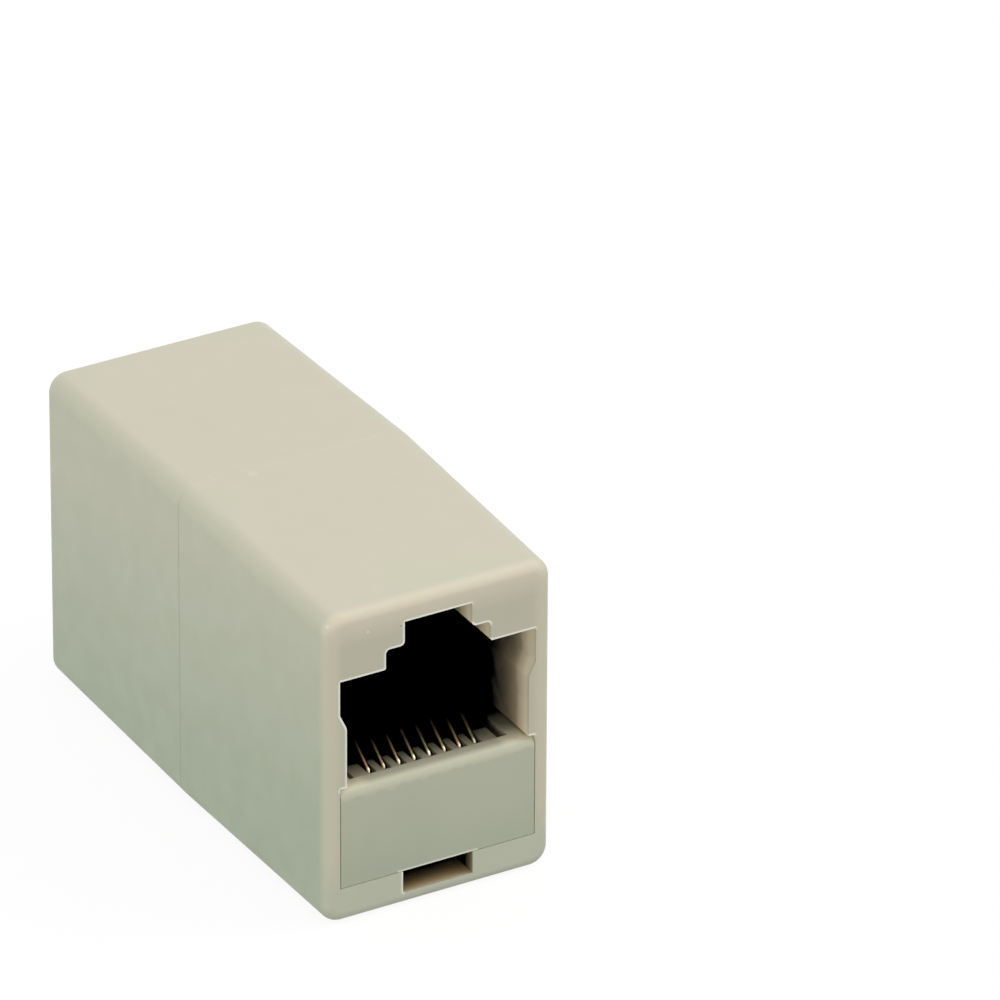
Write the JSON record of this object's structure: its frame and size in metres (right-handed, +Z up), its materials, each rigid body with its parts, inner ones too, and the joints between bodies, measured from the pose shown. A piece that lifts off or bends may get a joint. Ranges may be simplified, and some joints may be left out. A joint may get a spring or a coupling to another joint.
{
  "type": "modular plug inline coupler",
  "caption": "Box-shaped ivory inline coupler with a stepped modular socket in each end, spring wire contacts in a comb and leads that join the sockets pin to pin.",
  "frame": {"origin": "under the middle of the coupler, on the surface it lies on", "axes": "+Z up towards the latch notch, front mouth faces -Y, X across the body"},
  "size_m": [0.0156, 0.0344, 0.0212],
  "materials": {
    "shell_abs": "moulded ABS, ivory, fine satin",
    "insert_abs": "moulded ABS, greyish ivory, smooth satin",
    "contact_gold": "round phosphor bronze wire, gold plated, bright",
    "lead_blue": "soft PVC insulation, semi gloss",
    "lead_orange": "soft PVC insulation, semi gloss",
    "lead_black": "soft PVC insulation, semi gloss",
    "lead_red": "soft PVC insulation, semi gloss",
    "lead_green": "soft PVC insulation, semi gloss",
    "lead_yellow": "soft PVC insulation, semi gloss",
    "lead_brown": "soft PVC insulation, semi gloss",
    "lead_white": "soft PVC insulation, semi gloss"
  },
  "bodies": {
    "root": {"front_shell": "shell_abs", "rear_shell": "shell_abs", "front_insert": "insert_abs", "rear_insert": "insert_abs", "front_contact_1": "contact_gold", "rear_contact_1": "contact_gold", "lead_wire_1": "lead_blue", "front_contact_2": "contact_gold", "rear_contact_2": "contact_gold", "lead_wire_2": "lead_orange", "front_contact_3": "contact_gold", "rear_contact_3": "contact_gold", "lead_wire_3": "lead_black", "front_contact_4": "contact_gold", "rear_contact_4": "contact_gold", "lead_wire_4": "lead_red", "front_contact_5": "contact_gold", "rear_contact_5": "contact_gold", "lead_wire_5": "lead_green", "front_contact_6": "contact_gold", "rear_contact_6": "contact_gold", "lead_wire_6": "lead_yellow", "front_contact_7": "contact_gold", "rear_contact_7": "contact_gold", "lead_wire_7": "lead_brown", "front_contact_8": "contact_gold", "rear_contact_8": "contact_gold", "lead_wire_8": "lead_white"}
  },
  "joints": []
}
